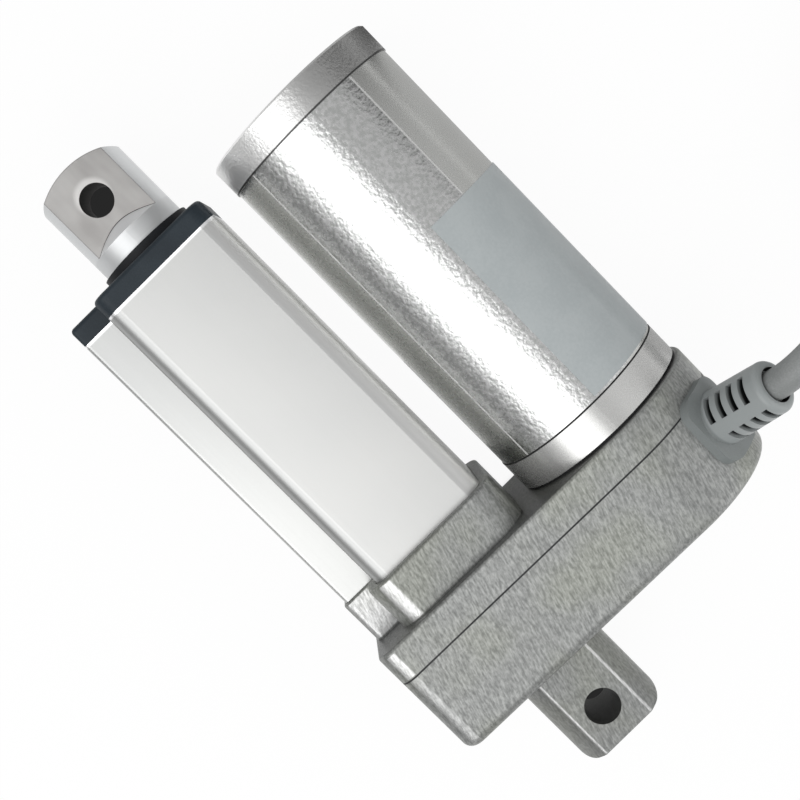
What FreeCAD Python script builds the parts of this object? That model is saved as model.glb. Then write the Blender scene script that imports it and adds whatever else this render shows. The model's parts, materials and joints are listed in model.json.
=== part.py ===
import FreeCAD, Part
import math
import os

# Electric linear actuator with a parallel motor, lying on its back, in millimetres.
# The origin is the centre of the rear pivot hole. The rod slides along +X, the motor
# lies beside it at -Y, and +Z points away from the surface that the actuator rests on.

V = FreeCAD.Vector
ALONG = V(1, 0, 0)
UP = V(0, 0, 1)

# Stroke and pivot holes
stroke = 30.0
closed_length = 105.0  # hole to hole when retracted, less the stroke
rear_hole_d = 7.2
front_hole_d = 6.4

# Rear pivot stub
stub_d = 19.9
stub_thick = 15.8
stub_reach = 7.5  # rear hole to the end of the stub
stub_length = 14.2  # rear hole to the gearbox's back
stub_tip_r = 2.2  # of the end's corners
stub_root_r = 1.2

# Gearbox
base_depth = 17.85
gasket_thick = 0.35
plate_thick = 6.6
base_wall = 2.2
back_wall = 3.0
motor_margin = 0.85  # of the rounded end past the motor's end cap
wheel_gap = 0.26  # screw wheel to the side walls
screw_end_r = 3.6
end_land = 0.1  # flat left between the collar and the rounded plate edge
base_fillet = 2.0
plate_fillet = 0.8

# Collar that takes the tube
collar_height = 9.6
collar_wall = 2.1
collar_channel_wall = 0.7  # round the side channel
collar_fillet = 0.6
tube_seat = 6.0

# Tube
tube_wall = 2.3  # at its thinnest
tube_corner = 3.2
channel_width = 7.7  # how far the side channel stands out of the square part
channel_height = 9.0
channel_corner = 0.9
channel_wall = 1.2
cam_slot = 4.0
screw_channel_inset = 3.25

# Front cap and seal
cap_thick = 4.0
cap_fillet = 0.9
lip_height = 1.8
lip_wall = 0.75
seal_wall = 2.05
seal_depth = 2.6
guide_length = 14.0
guide_wall = 1.63

# Rod and eye
rod_d = 19.0
rod_wall = 2.9
rod_stand_off = 3.6  # seal lip to the rod's end when retracted
rod_edge = 0.4
eye_root = 7.8  # front hole to the foot of the flats
eye_reach = 8.0  # front hole to the tip of the eye
eye_thick = 12.0
eye_tip_r = 16.5
eye_cone = 2.4  # length of the cone from the rod to the flats
eye_neck = 4.6  # plain round part of the eye, up to the cone
eye_spigot = 14.0

# Drive nut and lead screw
nut_gap = 8.0  # bearing to the nut when retracted
nut_length = 10.0
nut_spigot = 8.0
cam_length = 8.0
cam_thick = 3.2
screw_d = 9.6
screw_over = 3.0  # screw past the nut when extended
journal_d = 6.0
journal_tail = 3.6  # of the journal inside the rear bush
bush_d = 10.0
bearing_d = 19.0
bearing_width = 6.0
bearing_race = 2.1
bearing_shield = 0.4
retainer_d = 9.2
retainer_thick = 0.9

# Gear train
pressure_angle = math.radians(20)
pinion_teeth = 12
wheel_teeth = 36
addendum_share = 0.8  # of the module
dedendum_share = 1.05
backlash = 0.12
gear_gap = 1.0
idler_pin_d = 4.0
idler_hub_d = 7.0
pin_seat = 2.0

# Motor
motor_gap = 3.45  # collar to the motor's ring
can_d = 38.4
can_wall = 1.8
can_length = 71.7
ring_height = 6.5
ring_step = 0.15  # ring and end cap stand this far out of the can
cap_step = 0.25
motor_gasket_thick = 0.5
motor_gasket_inset = 0.5
end_cap_thick = 6.3
motor_edge = 0.4
motor_spigot = 3.5
spigot_wall = 2.4
hub_d = 12.0
hub_length = 3.4
motor_shaft_d = 4.0
motor_bush_d = 9.0
motor_bush_length = 5.0
magnet_thick = 4.5
magnet_space = 10.0  # between the edges of the two magnets
magnet_over = 3.0  # magnets past each end of the core
air_gap = 0.5
coil_overhang = 4.5
coil_end_gap = 7.5  # motor ring to the windings
core_slots = 8
core_slot = 2.6
core_hub_d = 11.0
winding_d = 22.0
commutator_d = 11.0
commutator_length = 8.0
commutator_gap = 1.2
card_thick = 1.5
card_hole_d = 14.0
brush_width = 4.0
brush_length = 5.0
brush_height = 7.0
holder_wall = 0.8
holder_lift = 1.0  # holder over the commutator

# Limit switches
board_thick = 1.2
switch_length = 8.4
switch_depth = 3.5
switch_height = 5.6
board_over = 4.0  # board past the outer end of each switch

# Fasteners
small_screw_d = 2.2
small_head_d = 4.0
small_head_h = 1.6
small_grip = 8.0
screw_3_d = 3.0
head_3_d = 5.4
head_3_h = 2.6
grip_3 = 5.0
head_land = 0.25  # flat left between a head's recess and the rounded back edge
boss_sink = 0.3  # how far a screw boss stands in the wall beside it
motor_screw_pcd = 25.0

# Label
label_length = 42.2
label_thick = 0.2
label_start = math.radians(93)  # round the motor from +Y over the top
label_wrap = math.radians(120)
label_gap = 0.6

# Strain relief and cable
relief_angle = 45.0  # above the horizontal, round the motor axis
relief_long = 15.0
relief_wide = 12.8
relief_over = 1.5  # how far the flange reaches past the seam
relief_corner = 3.4
relief_flange = 1.8
relief_neck_d = 8.8
sleeve_d = 11.0
sleeve_end_d = 10.2
sleeve_length = 13.2
sleeve_round = 1.2
slot_rows = 4  # round the sleeve
slot_count = 4  # in each row
slot_width = 1.35
slot_span = 5.2
slot_root = 0.3  # wall left under a slot
slot_first = 1.3  # flange to the middle of the first slot
sleeve_ring = 1.6  # plain end of the sleeve
mouth_gap = 0.55  # radial, round the cable in the sleeve's mouth
mouth_depth = 2.4
cable_d = 5.8
cable_rise = 43.0  # first bend of the cable, from the motor axis
cable_bend = 0.45  # share of the shorter run that a bend takes
cable_crest = V(29.0, -91.0, 26.0)
cable_foot = V(0.0, -117.0, -1.0)

# Coiled length of the cable
coil_x = 30.5
coil_y = -144.0
coil_across = 58.0
coil_entry = 202.0  # degrees round the coil, where the cable joins its upper turn
entry_run = 21.0
upper_turn = 258.0  # degrees
outer_turn_start = 103.0
outer_turn = 297.0
turn_sink = 0.3  # how far the turns stand in each other
tie_width = 4.0
tie_thick = 0.8
tie_angle = 300.0
core_wire_d = 1.9
core_wire_length = 13.0
core_wire_apart = 2.3

# Clearances
running = 0.05  # radial, shaft in bearing
sliding = 0.15  # radial, nut in tube
seat_gap = 0.02  # radial, fixed round pieces
fit_gap = 0.1  # tube in its socket, pieces in their slots
clear = 0.4  # between pieces that pass each other
touch = 1e-6  # under this, an edge lies in a plane

# Radii and levels
rod_r = rod_d / 2
rod_bore_r = rod_r - rod_wall
bore_r = rod_r + running + guide_wall + seat_gap
tube_half = bore_r + tube_wall
channel_y1 = tube_half + channel_width
channel_half = channel_height / 2
corner_screw = tube_half - screw_channel_inset
can_r = can_d / 2
can_bore_r = can_r - can_wall
motor_cap_r = can_r + cap_step
motor_end_r = motor_cap_r + motor_margin
shaft_r = motor_shaft_d / 2
table_z = -motor_end_r
coil_r = coil_across / 2
coil_low = table_z + tie_thick
coil_mid = coil_low + cable_d - fit_gap
coil_top = coil_low + 2 * cable_d

# Axes across the gearbox, and the gears that span them
motor_y = -(tube_half + collar_wall + motor_gap + can_r + ring_step)
idler_y = motor_y / 2
module = -motor_y / (pinion_teeth + wheel_teeth)
addendum = addendum_share * module
dedendum = dedendum_share * module

# Square end of the gearbox, about the tube and the screw wheel
screw_end_reach = channel_y1 + collar_channel_wall + plate_fillet + end_land
screw_end_half = module * wheel_teeth / 2 + addendum + wheel_gap + base_wall
screw_inset = base_fillet + head_3_d / 2 + fit_gap + head_land
boss_r = screw_inset - base_wall + boss_sink

# Stations along the rod
hole_to_hole = closed_length + stroke
back_x = stub_length
cavity_x = back_x + back_wall
rim_x = back_x + base_depth
seam_x = rim_x + gasket_thick
plate_x = seam_x + plate_thick
collar_x = plate_x + collar_height
tube_x0 = collar_x - tube_seat
shoulder_x = hole_to_hole - eye_root
rod_x1 = shoulder_x - eye_neck
tip_x = hole_to_hole + eye_reach
lip_x = shoulder_x - rod_stand_off
cap_x = lip_x - lip_height
tube_x1 = cap_x - cap_thick
guide_x0 = tube_x1 - guide_length
bearing_x0 = tube_x0 - bearing_width
retainer_x0 = bearing_x0 - retainer_thick
nut_x0 = tube_x0 + nut_gap
rod_x0 = nut_x0 + nut_length
screw_x1 = rod_x0 + nut_spigot + stroke + screw_over
journal_x0 = cavity_x - journal_tail
relief_x = seam_x + relief_over - relief_long / 2

# Gear planes inside the cavity
gear_width = (rim_x - cavity_x - 3 * gear_gap) / 2
screw_gear_x0 = cavity_x + gear_gap
screw_gear_x1 = screw_gear_x0 + gear_width
idler_gear_x0 = screw_gear_x1 + gear_gap
idler_gear_x1 = idler_gear_x0 + gear_width

# Stations along the motor
motor_x0 = plate_x + motor_gasket_thick
ring_x = motor_x0 + ring_height
can_x = ring_x + can_length
motor_end_x = can_x + end_cap_thick
card_x1 = can_x - motor_spigot
card_x0 = card_x1 - card_thick
commutator_x1 = card_x0 - commutator_gap
commutator_x0 = commutator_x1 - commutator_length
coil_x0 = ring_x + coil_end_gap
coil_x1 = commutator_x0 - commutator_gap
core_x0 = coil_x0 + coil_overhang
core_x1 = coil_x1 - coil_overhang
core_r = can_bore_r - seat_gap - magnet_thick - air_gap


def disc(radius, x0, x1, y=0.0, z=0.0):
    """Solid cylinder along the rod's direction."""
    return Part.makeCylinder(radius, x1 - x0, V(x0, y, z), ALONG)


def ring(outer, inner, x0, x1, y=0.0, z=0.0):
    """Tube along the rod's direction."""
    return disc(outer, x0, x1, y, z).cut(disc(inner, x0, x1, y, z))


def block(x0, x1, y0, y1, z0, z1):
    """Box between two corners."""
    return Part.makeBox(x1 - x0, y1 - y0, z1 - z0, V(x0, y0, z0))


def edges_at(shape, x):
    """Edges that lie in the plane across the rod at x."""
    boxes = [(e, e.BoundBox) for e in shape.Edges]
    return [e for e, box in boxes if max(abs(box.XMin - x), abs(box.XMax - x)) < touch]


def bar(x0, x1, y0, y1, half, corner):
    """Bar along the rod's direction with rounded long edges."""
    box = block(x0, x1, y0, y1, -half, half)
    long_edges = [e for e in box.Edges if e.BoundBox.XLength > (x1 - x0) / 2]
    return box.makeFillet(corner, long_edges)


def stepped_bar(x0, x1, grow, channel_grow):
    """Outer form of the tube: a square part and a lower side channel, each grown all round."""
    half = tube_half + grow
    square = bar(x0, x1, -half, half, half, tube_corner + grow)
    y1 = channel_y1 + channel_grow
    channel = bar(x0, x1, 0.0, y1, channel_half + channel_grow, channel_corner + channel_grow)
    return square.fuse(channel).removeSplitter()


def gearbox_prism(inset, x0, x1):
    """Gearbox outline: a round end about the motor, tangent sides and a narrower square end."""
    big = motor_end_r - inset
    small = screw_end_r - inset
    corner_y = screw_end_reach - screw_end_r
    corner_z = screw_end_half - screw_end_r
    span = math.hypot(corner_y - motor_y, corner_z)
    lean = math.atan2(corner_z, corner_y - motor_y) + math.acos((big - small) / span)

    def point(centre_y, centre_z, radius, angle):
        return V(x0, centre_y + radius * math.cos(angle), centre_z + radius * math.sin(angle))

    top_motor = point(motor_y, 0, big, lean)
    top_corner = point(corner_y, corner_z, small, lean)
    top_bend = point(corner_y, corner_z, small, lean / 2)
    top_end = point(corner_y, corner_z, small, 0)
    low_end = point(corner_y, -corner_z, small, 0)
    low_bend = point(corner_y, -corner_z, small, -lean / 2)
    low_corner = point(corner_y, -corner_z, small, -lean)
    low_motor = point(motor_y, 0, big, -lean)
    round_end = point(motor_y, 0, big, math.pi)
    outline = [
        Part.LineSegment(top_motor, top_corner),
        Part.Arc(top_corner, top_bend, top_end),
        Part.LineSegment(top_end, low_end),
        Part.Arc(low_end, low_bend, low_corner),
        Part.LineSegment(low_corner, low_motor),
        Part.Arc(low_motor, round_end, top_motor),
    ]
    face = Part.Face(Part.Wire([curve.toShape() for curve in outline]))
    return face.extrude(V(x1 - x0, 0, 0))


def gear(teeth, x0, x1, y, phase):
    """Spur gear whose flanks follow an involute, with phase in tooth pitches from +Y."""
    pitch_r = module * teeth / 2
    base_r = pitch_r * math.cos(pressure_angle)
    root_r = pitch_r - dedendum
    tip_r = pitch_r + addendum
    half_at_pitch = (math.pi * module / 2 - backlash) / 2 / pitch_r

    def involute(radius):
        angle = math.acos(min(1.0, base_r / radius))
        return math.tan(angle) - angle

    flank = sorted({root_r, max(root_r, base_r), pitch_r, tip_r})
    half = {r: half_at_pitch + involute(pitch_r) - involute(r) for r in flank}
    points = []
    for tooth in range(teeth):
        middle = 2 * math.pi * (tooth + phase) / teeth
        rise = [(r, middle - half[r]) for r in flank]
        fall = [(r, middle + half[r]) for r in reversed(flank)]
        points += [V(x0, y + r * math.cos(a), r * math.sin(a)) for r, a in rise + fall]
    face = Part.Face(Part.makePolygon(points + points[:1]))
    return face.extrude(V(x1 - x0, 0, 0))


def screw(shank_d, head_d, head_h, head_x, end_x, y, z):
    """Plain screw with its head at head_x and its tip at end_x, either way along the rod."""
    way = 1 if end_x > head_x else -1
    head = Part.makeCylinder(head_d / 2, head_h, V(head_x, y, z), ALONG * way)
    shank = Part.makeCylinder(shank_d / 2, abs(end_x - head_x), V(head_x, y, z), ALONG * way)
    return head.fuse(shank).removeSplitter()


def corners(half):
    """The four corners of a square about the rod axis."""
    return [(y, z) for y in (-half, half) for z in (-half, half)]


def cover_screw_places():
    """Screws at the square end and above and below the motor axis."""
    end_y = screw_end_reach - screw_inset
    places = [(end_y, side * (screw_end_half - screw_inset)) for side in (-1, 1)]
    return places + [(motor_y, side * (motor_end_r - screw_inset)) for side in (-1, 1)]


def motor_screw_places():
    """Two screws either side of the motor shaft."""
    return [(motor_y + side * motor_screw_pcd / 2, 0.0) for side in (-1, 1)]


def at_relief(shape):
    """Turn a piece built upright over the motor axis to the strain relief's place."""
    turned = shape.rotated(V(0, 0, 0), ALONG, 90 - relief_angle)
    return turned.translated(V(relief_x, motor_y, 0))


def pivot_stub():
    """Round bar with two flats, its end's corners rounded and its root flared."""
    r = stub_d / 2
    tip = -stub_reach
    bend = math.sqrt(0.5)
    edges = [
        Part.LineSegment(V(tip, 0, 0), V(tip, r, 0)),
        Part.LineSegment(V(tip, r, 0), V(back_x - stub_root_r, r, 0)),
        Part.Arc(
            V(back_x - stub_root_r, r, 0),
            V(back_x - stub_root_r * (1 - bend), r + stub_root_r * (1 - bend), 0),
            V(back_x, r + stub_root_r, 0),
        ),
        Part.LineSegment(V(back_x, r + stub_root_r, 0), V(cavity_x, r + stub_root_r, 0)),
        Part.LineSegment(V(cavity_x, r + stub_root_r, 0), V(cavity_x, 0, 0)),
        Part.LineSegment(V(cavity_x, 0, 0), V(tip, 0, 0)),
    ]
    face = Part.Face(Part.Wire([edge.toShape() for edge in edges]))
    turned = face.revolve(V(0, 0, 0), ALONG, 360)
    flat = stub_thick / 2
    for side in (-1, 1):
        low, high = sorted((side * flat, side * stub_d))
        turned = turned.cut(block(tip, back_x, -stub_d, stub_d, low, high))
    bend_x = tip + stub_tip_r
    for side in (-1, 1):
        bend_y = side * (r - stub_tip_r)
        low, high = sorted((bend_y, side * stub_d))
        corner = block(tip, bend_x, low, high, -flat, flat)
        kept = Part.makeCylinder(stub_tip_r, stub_thick, V(bend_x, bend_y, -flat), UP)
        turned = turned.cut(corner.cut(kept))
    return turned


def gearbox_base():
    """Deep die-cast half: gear cavity, screw bosses, bearing seats and the pivot stub."""
    outside = gearbox_prism(0, back_x, rim_x)
    outside = outside.makeFillet(base_fillet, edges_at(outside, back_x))
    cavity = gearbox_prism(base_wall, cavity_x, rim_x)
    bosses = [disc(boss_r, cavity_x, rim_x, y, z) for y, z in cover_screw_places()]
    room = cavity.cut(bosses)
    body = outside.cut(room).fuse(pivot_stub()).removeSplitter()
    neck_r = relief_neck_d / 2 + fit_gap
    cuts = [
        Part.makeCylinder(rear_hole_d / 2, stub_d, V(0, 0, -stub_d / 2), UP),
        disc(bush_d / 2 + seat_gap, journal_x0 - clear, cavity_x),
        disc(idler_pin_d / 2 + seat_gap, cavity_x - pin_seat, cavity_x, idler_y),
        at_relief(Part.makeCylinder(neck_r, motor_end_r, V(0, 0, motor_end_r / 2), UP)),
    ]
    for y, z in cover_screw_places():
        cuts.append(disc(screw_3_d / 2 + fit_gap, back_x, rim_x, y, z))
        cuts.append(disc(head_3_d / 2 + fit_gap, back_x, back_x + head_3_h, y, z))
    return body.cut(cuts)


def gearbox_gasket():
    """Flat seal that follows the rim of the base."""
    sheet = gearbox_prism(0, rim_x, seam_x).cut(gearbox_prism(base_wall, rim_x, seam_x))
    bosses = [disc(boss_r, rim_x, seam_x, y, z) for y, z in cover_screw_places()]
    holes = [disc(screw_3_d / 2 + fit_gap, rim_x, seam_x, y, z) for y, z in cover_screw_places()]
    return sheet.fuse(bosses).removeSplitter().cut(holes)


def gearbox_cover():
    """Cover plate with the stepped collar, bearing pocket and motor seat."""
    plate = gearbox_prism(0, seam_x, plate_x)
    plate = plate.makeFillet(plate_fillet, edges_at(plate, plate_x))
    collar = stepped_bar(plate_x, collar_x, collar_wall, collar_channel_wall)
    collar = collar.makeFillet(collar_fillet, edges_at(collar, collar_x))
    core = disc(bearing_d / 2 + collar_wall, seam_x, tube_x0)
    body = plate.fuse([collar, core]).removeSplitter()
    cuts = [
        stepped_bar(tube_x0, collar_x, fit_gap, fit_gap),
        disc(bearing_d / 2 + seat_gap, bearing_x0, tube_x0),
        disc(bearing_d / 2 - bearing_race, seam_x, bearing_x0),
        disc(hub_d / 2 + fit_gap, seam_x, plate_x, motor_y),
        disc(idler_pin_d / 2 + seat_gap, seam_x, seam_x + pin_seat, idler_y),
    ]
    for y, z in cover_screw_places():
        cuts.append(disc(screw_3_d / 2 + seat_gap, seam_x, seam_x + grip_3, y, z))
    for y, z in motor_screw_places():
        cuts.append(disc(screw_3_d / 2 + fit_gap, seam_x, plate_x, y, z))
        cuts.append(disc(head_3_d / 2 + fit_gap, seam_x, seam_x + head_3_h, y, z))
    for y, z in corners(corner_screw):
        cuts.append(disc(small_screw_d / 2 + fit_gap, seam_x, tube_x0, y, z))
        cuts.append(disc(small_head_d / 2 + fit_gap, seam_x, seam_x + small_head_h, y, z))
    return body.cut(cuts)


def gearbox_screws():
    """Screws from the base's back into the cover."""
    end = seam_x + grip_3
    return [screw(screw_3_d, head_3_d, head_3_h, back_x, end, y, z) for y, z in cover_screw_places()]


def outer_tube():
    """Extrusion: bore, side channel, cam slot and four screw channels."""
    cuts = [
        disc(bore_r, tube_x0, tube_x1),
        block(
            tube_x0,
            tube_x1,
            tube_half,
            channel_y1 - channel_wall,
            channel_wall - channel_half,
            channel_half - channel_wall,
        ),
        block(tube_x0, tube_x1, 0, tube_half, -cam_slot / 2, cam_slot / 2),
    ]
    cuts += [disc(small_screw_d / 2 + seat_gap, tube_x0, tube_x1, y, z) for y, z in corners(corner_screw)]
    return stepped_bar(tube_x0, tube_x1, 0, 0).cut(cuts)


def tube_screws():
    """Screws from the cover's inside into the tube."""
    end = tube_x0 + small_grip
    places = corners(corner_screw)
    return [screw(small_screw_d, small_head_d, small_head_h, seam_x, end, y, z) for y, z in places]


def front_cap():
    """Moulded cap with the tube's outline and a pocket for the seal."""
    body = stepped_bar(tube_x1, cap_x, 0, 0)
    body = body.makeFillet(cap_fillet, edges_at(body, cap_x))
    cuts = [
        disc(rod_r + clear, tube_x1, cap_x),
        disc(rod_r + seal_wall + seat_gap, cap_x - seal_depth, cap_x),
    ]
    for y, z in corners(corner_screw):
        cuts.append(disc(small_screw_d / 2 + fit_gap, tube_x1, cap_x, y, z))
        cuts.append(disc(small_head_d / 2 + fit_gap, cap_x - small_head_h, cap_x, y, z))
    return body.cut(cuts)


def cap_screws():
    """Screws from the front into the tube."""
    end = tube_x1 - small_grip
    places = corners(corner_screw)
    return [screw(small_screw_d, small_head_d, small_head_h, cap_x, end, y, z) for y, z in places]


def wiper_seal():
    """Rubber ring in the cap with a lip that stands round the rod."""
    inner = rod_r + running
    body = ring(rod_r + seal_wall, inner, cap_x - seal_depth, cap_x)
    lip = ring(rod_r + lip_wall, inner, cap_x, lip_x)
    return body.fuse(lip).removeSplitter()


def guide_bush():
    """Long plain bush that guides the rod in the tube's mouth."""
    return ring(bore_r - seat_gap, rod_r + running, guide_x0, tube_x1)


def rod_tube():
    """Hollow rod with a broken front edge."""
    tube = ring(rod_r, rod_bore_r, rod_x0, rod_x1)
    rim = [e for e in edges_at(tube, rod_x1) if e.BoundBox.YLength > rod_bore_r + rod_r]
    return tube.makeChamfer(rod_edge, rim)


def rod_eye():
    """Eye with two flats, a rounded tip and the cross hole, on a neck with a spigot in the rod."""
    spigot = disc(rod_bore_r - seat_gap, rod_x1 - eye_spigot, rod_x1)
    neck = disc(rod_r, rod_x1, shoulder_x)
    head = disc(rod_r, shoulder_x, tip_x)
    flat = eye_thick / 2
    tip_centre = tip_x - eye_tip_r
    rounded = Part.makeCylinder(eye_tip_r, eye_thick, V(tip_centre, 0, -flat), UP)
    root = block(shoulder_x, hole_to_hole, -rod_r, rod_r, -flat, flat)
    cone = Part.makeCone(rod_r, flat, eye_cone, V(shoulder_x, 0, 0), ALONG)
    head = head.common(rounded.fuse(root))
    hole = Part.makeCylinder(front_hole_d / 2, rod_d, V(hole_to_hole, 0, -rod_r), UP)
    return spigot.fuse([neck, cone, head]).removeSplitter().cut(hole)


def drive_nut():
    """Nut that slides in the tube, with its spigot in the rod and a cam for the switches."""
    body = disc(bore_r - sliding, nut_x0, rod_x0)
    spigot = disc(rod_bore_r - seat_gap, rod_x0, rod_x0 + nut_spigot)
    cam_x0 = nut_x0 + (nut_length - cam_length) / 2
    cam = block(cam_x0, cam_x0 + cam_length, 0, switch_face() - clear, -cam_thick / 2, cam_thick / 2)
    hole = disc(screw_d / 2 + running, nut_x0, rod_x0 + nut_spigot)
    return body.fuse([spigot, cam]).removeSplitter().cut(hole)


def lead_screw():
    """Screw with a plain journal for the gear and bearings."""
    journal = disc(journal_d / 2, journal_x0, tube_x0)
    thread = disc(screw_d / 2, tube_x0, screw_x1)
    return journal.fuse(thread).removeSplitter()


def bearing_outer_race():
    """Outer race with a thin shield on each side."""
    outer = bearing_d / 2
    lip = outer - bearing_race
    inner = journal_d / 2 + bearing_race + fit_gap
    race = ring(outer, lip, bearing_x0, tube_x0)
    near = ring(lip, inner, bearing_x0, bearing_x0 + bearing_shield)
    far = ring(lip, inner, tube_x0 - bearing_shield, tube_x0)
    return race.fuse([near, far]).removeSplitter()


def bearing_inner_race():
    """Inner race on the journal, against the screw's shoulder."""
    inner = journal_d / 2 + seat_gap
    return ring(journal_d / 2 + bearing_race, inner, bearing_x0, tube_x0)


def retaining_ring():
    """Ring on the journal that holds the bearing against the shoulder."""
    return ring(retainer_d / 2, journal_d / 2 + seat_gap, retainer_x0, bearing_x0)


def rear_bush():
    """Plain bush for the journal's tail, in the base."""
    return ring(bush_d / 2, journal_d / 2 + running, journal_x0 - clear, cavity_x)


def screw_gear():
    """Wheel on the lead screw, with a tooth gap towards the idler."""
    wheel = gear(wheel_teeth, screw_gear_x0, screw_gear_x1, 0.0, 0.5)
    return wheel.cut(disc(journal_d / 2 + seat_gap, screw_gear_x0, screw_gear_x1))


def idler_gear():
    """Wheel and pinion moulded in one, with a short hub at each end."""
    end_gap = gear_gap / 4
    wheel = gear(wheel_teeth, idler_gear_x0, idler_gear_x1, idler_y, 0.5)
    pinion = gear(pinion_teeth, screw_gear_x0, idler_gear_x0, idler_y, 0.0)
    hub = disc(idler_hub_d / 2, cavity_x + end_gap, rim_x - end_gap, idler_y)
    bore = disc(idler_pin_d / 2 + running, cavity_x, rim_x, idler_y)
    return wheel.fuse([pinion, hub]).removeSplitter().cut(bore)


def idler_pin():
    """Fixed pin between the base and the cover."""
    return disc(idler_pin_d / 2, cavity_x - pin_seat, seam_x + pin_seat, idler_y)


def motor_pinion():
    """Pinion on the motor shaft, with a tooth towards the idler."""
    teeth = gear(pinion_teeth, idler_gear_x0, idler_gear_x1, motor_y, 0.0)
    return teeth.cut(disc(shaft_r + seat_gap, idler_gear_x0, idler_gear_x1, motor_y))


def motor_shaft():
    """Shaft from the pinion to the rear bush."""
    return disc(shaft_r, idler_gear_x0, can_x + motor_bush_length - motor_spigot, motor_y)


def motor_gasket():
    """Seal between the motor and the cover."""
    holes = [disc(screw_3_d / 2 + fit_gap, plate_x, motor_x0, y, z) for y, z in motor_screw_places()]
    sheet = ring(can_r - motor_gasket_inset, hub_d / 2 + fit_gap, plate_x, motor_x0, motor_y)
    return sheet.cut(holes)


def motor_ring():
    """Front end plate: a ring that stands on the cover, with a hub for the shaft's bush."""
    plate = disc(can_r + ring_step, motor_x0, ring_x, motor_y)
    plate = plate.makeChamfer(ring_step, edges_at(plate, ring_x))
    hub = disc(hub_d / 2, motor_x0 - hub_length, motor_x0, motor_y)
    bush_x0 = motor_x0 - hub_length
    cuts = [
        disc(motor_bush_d / 2 + seat_gap, bush_x0, bush_x0 + motor_bush_length, motor_y),
        disc(shaft_r + clear, bush_x0, ring_x, motor_y),
    ]
    end = motor_x0 + grip_3
    cuts += [disc(screw_3_d / 2 + seat_gap, motor_x0, end, y, z) for y, z in motor_screw_places()]
    return plate.fuse(hub).removeSplitter().cut(cuts)


def motor_screws():
    """Screws from the cover's inside into the motor's end plate."""
    end = motor_x0 + grip_3
    return [screw(screw_3_d, head_3_d, head_3_h, seam_x, end, y, z) for y, z in motor_screw_places()]


def motor_front_bush():
    """Shaft bearing in the end plate's hub."""
    start = motor_x0 - hub_length
    return ring(motor_bush_d / 2, shaft_r + running, start, start + motor_bush_length, motor_y)


def motor_can():
    """Drawn tube of the motor."""
    return ring(can_r, can_bore_r, ring_x, can_x, motor_y)


def motor_end_cap():
    """Cast cap with a spigot in the can and a seat for the rear bush."""
    cap = disc(motor_cap_r, can_x, motor_end_x, motor_y)
    cap = cap.makeChamfer(motor_edge, edges_at(cap, motor_end_x))
    spigot = ring(can_bore_r - seat_gap, can_bore_r - spigot_wall, card_x1, can_x, motor_y)
    hub = disc(motor_bush_d / 2 + spigot_wall, card_x1, can_x, motor_y)
    seat = disc(motor_bush_d / 2 + seat_gap, card_x1, card_x1 + motor_bush_length, motor_y)
    return cap.fuse([spigot, hub]).removeSplitter().cut(seat)


def motor_rear_bush():
    """Shaft bearing in the end cap."""
    return ring(motor_bush_d / 2, shaft_r + running, card_x1, card_x1 + motor_bush_length, motor_y)


def motor_magnets():
    """Two curved magnets, above and below the armature."""
    outer = can_bore_r - seat_gap
    sleeve = ring(outer, outer - magnet_thick, core_x0 - magnet_over, core_x1 + magnet_over, motor_y)
    half = magnet_space / 2
    gap = block(coil_x0, coil_x1, motor_y - can_r, motor_y + can_r, -half, half)
    return sleeve.cut(gap).Solids


def slot_bars(width, inner, outer, x0, x1):
    """Bars set round the motor axis, one in each armature slot."""
    bars = []
    for slot in range(core_slots):
        one = block(x0, x1, motor_y + inner, motor_y + outer, -width / 2, width / 2)
        bars.append(one.rotated(V(0, motor_y, 0), ALONG, 360 * slot / core_slots))
    return bars


def armature_core():
    """Slotted stack of laminations on the shaft."""
    stack = ring(core_r, shaft_r + seat_gap, core_x0, core_x1, motor_y)
    return stack.cut(slot_bars(core_slot, core_hub_d / 2, can_r, core_x0, core_x1))


def armature_windings():
    """Wire in the slots, joined by the bundles at both ends."""
    inner = core_hub_d / 2 + fit_gap
    bars = slot_bars(core_slot - 2 * fit_gap, inner, winding_d / 2, coil_x0, coil_x1)
    ends = [
        ring(winding_d / 2, shaft_r + seat_gap, coil_x0, core_x0, motor_y),
        ring(winding_d / 2, shaft_r + seat_gap, core_x1, coil_x1, motor_y),
    ]
    return ends[0].fuse(bars + ends[1:]).removeSplitter()


def commutator():
    """Copper sleeve under the brushes, against the windings."""
    return ring(commutator_d / 2, shaft_r + seat_gap, coil_x1, commutator_x1, motor_y)


def brush_card():
    """Insulating disc against the end cap's spigot."""
    return ring(can_bore_r - seat_gap, card_hole_d / 2, card_x0, card_x1, motor_y)


def brush_spot(side, grow, start):
    """Block over or under the commutator, grown round a brush."""
    middle = (commutator_x0 + commutator_x1) / 2
    low, high = sorted((side * start, side * (commutator_d / 2 + running + brush_height)))
    half_x = brush_length / 2 + grow
    half_y = brush_width / 2 + grow
    return block(middle - half_x, middle + half_x, motor_y - half_y, motor_y + half_y, low, high)


def carbon_brushes():
    """Two brushes that press on the commutator."""
    return [brush_spot(side, 0, commutator_d / 2 + running) for side in (-1, 1)]


def brush_holders():
    """Brass boxes round the brushes, on feet that stand on the card."""
    made = []
    for side in (-1, 1):
        box = brush_spot(side, holder_wall, commutator_d / 2 + holder_lift)
        span = box.BoundBox
        foot = block(span.XMax, card_x0, span.YMin, span.YMax, span.ZMin, span.ZMax)
        foot = foot.cut(disc(card_hole_d / 2, span.XMax, card_x0, motor_y))
        made.append(box.fuse(foot).removeSplitter().cut(brush_spot(side, fit_gap, 0)))
    return made


def switch_face():
    """Level of the switches' inner faces across the channel."""
    return channel_y1 - channel_wall - board_thick - switch_depth


def switch_places():
    """Outer ends of the two switches: behind the cam when retracted, ahead of it when extended."""
    middle = nut_x0 + nut_length / 2
    return [middle - switch_length, middle + stroke]


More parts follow.
